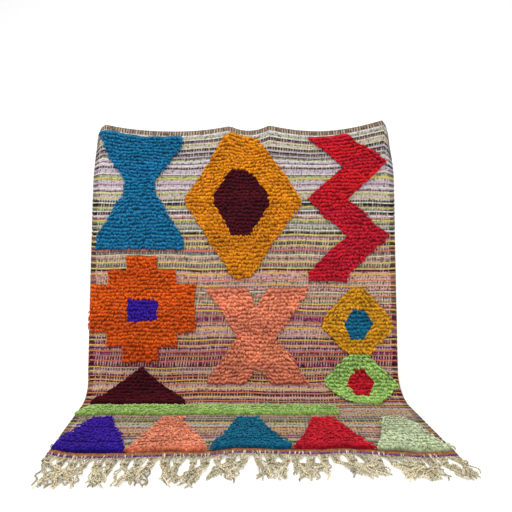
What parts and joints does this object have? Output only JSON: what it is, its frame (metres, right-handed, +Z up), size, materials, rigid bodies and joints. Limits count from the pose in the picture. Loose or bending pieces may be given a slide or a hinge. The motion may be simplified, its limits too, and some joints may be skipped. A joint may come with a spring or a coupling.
{
  "type": "boujad rug, hung from its top edge",
  "caption": "Wool rug with blocks of knotted pile on a striped flat weave, hanging, its lower end and knotted fringe lying out on the floor.",
  "frame": {"origin": "on the floor, under the middle of the whole object's box", "axes": "+X across the rug, +Y from the lying end towards the hanging part, with the pile facing -Y where it hangs, +Z up"},
  "size_m": [1.6414, 1.022, 1.3964],
  "materials": {
    "wool": "matt wool pile in many colours on a striped wool flat weave",
    "fringe": "matt undyed twisted cord with a purple twined edge"
  },
  "bodies": {
    "root": {"rug_body": "wool", "fringe": "fringe"}
  },
  "joints": []
}
